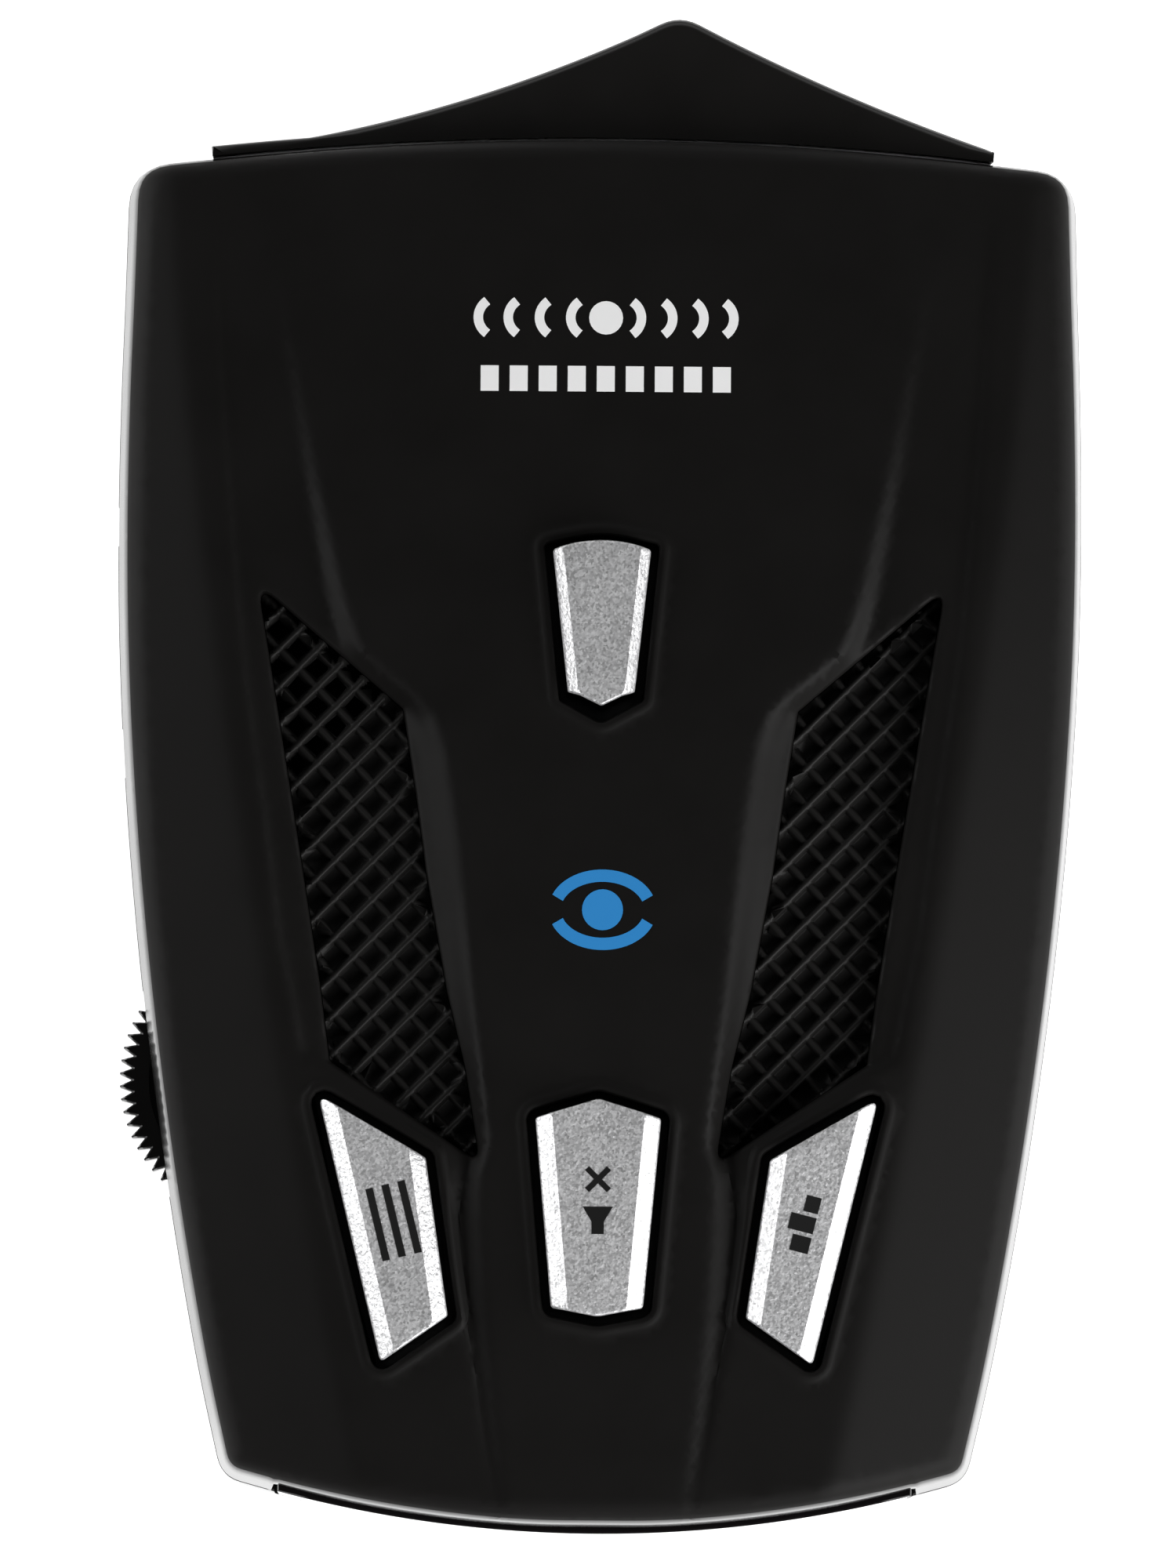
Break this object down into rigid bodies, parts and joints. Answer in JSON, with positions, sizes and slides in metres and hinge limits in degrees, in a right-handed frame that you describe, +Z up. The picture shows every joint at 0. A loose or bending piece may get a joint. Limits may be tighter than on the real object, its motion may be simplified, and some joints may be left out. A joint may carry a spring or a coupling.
{
  "type": "radar detector",
  "caption": "Windscreen radar and laser detector with a soft-touch cover, top buttons, a side volume thumbwheel and a display window facing the driver.",
  "frame": {"origin": "middle of the flat underside, at the centre of the bounding box's base", "axes": "+Z up through the button cover, +Y towards the road and the laser visor, -Y towards the driver and the display, -X the side with the thumbwheel and the sockets"},
  "size_m": [0.0714, 0.112, 0.0291],
  "materials": {
    "soft_touch_black": "fine soft-touch coat on a moulded cover",
    "moulded_black": "fine spark texture",
    "gloss_black": "polished, passes infrared",
    "display_smoke": "polished smoked window",
    "silver_paint": "metallic silver paint over a coarse spark texture",
    "circuit_board": "solder mask",
    "cast_zinc": "as cast",
    "steel": "bright plated",
    "chip_black": "moulded package",
    "lens_red": "polished",
    "paper_cone": "pressed paper",
    "foam": "open-cell foam"
  },
  "bodies": {
    "housing": {"top_cover": "soft_touch_black", "bottom_cover": "moulded_black", "front_visor": "gloss_black", "display_window": "display_smoke", "grille_right": "moulded_black", "grille_left": "moulded_black", "volume_control": "chip_black", "main_board": "circuit_board", "horn_antenna": "cast_zinc", "horn_lid": "cast_zinc", "mixer_board": "circuit_board", "laser_lens": "lens_red", "laser_sensor": "chip_black", "display_board": "circuit_board", "display_module": "gloss_black", "display_bezel": "chip_black", "display_header": "chip_black", "speaker_frame": "steel", "speaker_magnet": "cast_zinc", "speaker_cone": "paper_cone", "speaker_gasket": "foam", "power_socket": "chip_black", "audio_socket": "chip_black", "processor": "chip_black", "audio_amplifier": "chip_black", "power_regulator": "chip_black", "crystal": "steel", "rf_shield": "steel", "capacitor_1": "cast_zinc", "capacitor_2": "cast_zinc", "switch_power": "steel", "switch_menu": "steel", "switch_mute": "steel", "switch_city": "steel", "case_screw_1": "steel", "case_screw_2": "steel", "case_screw_3": "steel", "case_screw_4": "steel", "board_screw_1": "steel", "board_screw_2": "steel", "board_screw_3": "steel", "board_screw_4": "steel", "horn_screw_1": "steel", "horn_screw_2": "steel", "horn_screw_3": "steel", "horn_screw_4": "steel"},
    "volume wheel": {"thumbwheel": "moulded_black", "volume_shaft": "cast_zinc", "thumbwheel_screw": "steel"},
    "power button": {"button_power": "silver_paint", "plunger_power": "chip_black"},
    "menu button": {"button_menu": "silver_paint", "plunger_menu": "chip_black"},
    "mute button": {"button_mute": "silver_paint", "plunger_mute": "chip_black"},
    "city button": {"button_city": "silver_paint", "plunger_city": "chip_black"}
  },
  "joints": [
    {"name": "power_press", "type": "slide", "parent": "housing", "child": "power button", "axis": [0, 0, -1], "range_m": [0, 0.0005], "stiffness_N_per_m": 3000},
    {"name": "menu_press", "type": "slide", "parent": "housing", "child": "menu button", "axis": [0, 0, -1], "range_m": [0, 0.0005], "stiffness_N_per_m": 3000},
    {"name": "mute_press", "type": "slide", "parent": "housing", "child": "mute button", "axis": [0, 0, -1], "range_m": [0, 0.0005], "stiffness_N_per_m": 3000},
    {"name": "city_press", "type": "slide", "parent": "housing", "child": "city button", "axis": [0, 0, -1], "range_m": [0, 0.0005], "stiffness_N_per_m": 3000},
    {"name": "volume_turn", "type": "hinge", "parent": "housing", "child": "volume wheel", "pos_m": [-0.02495, -0.0219, 0.0117], "axis": [0, 0, 1], "range_deg": [0, 270]}
  ]
}
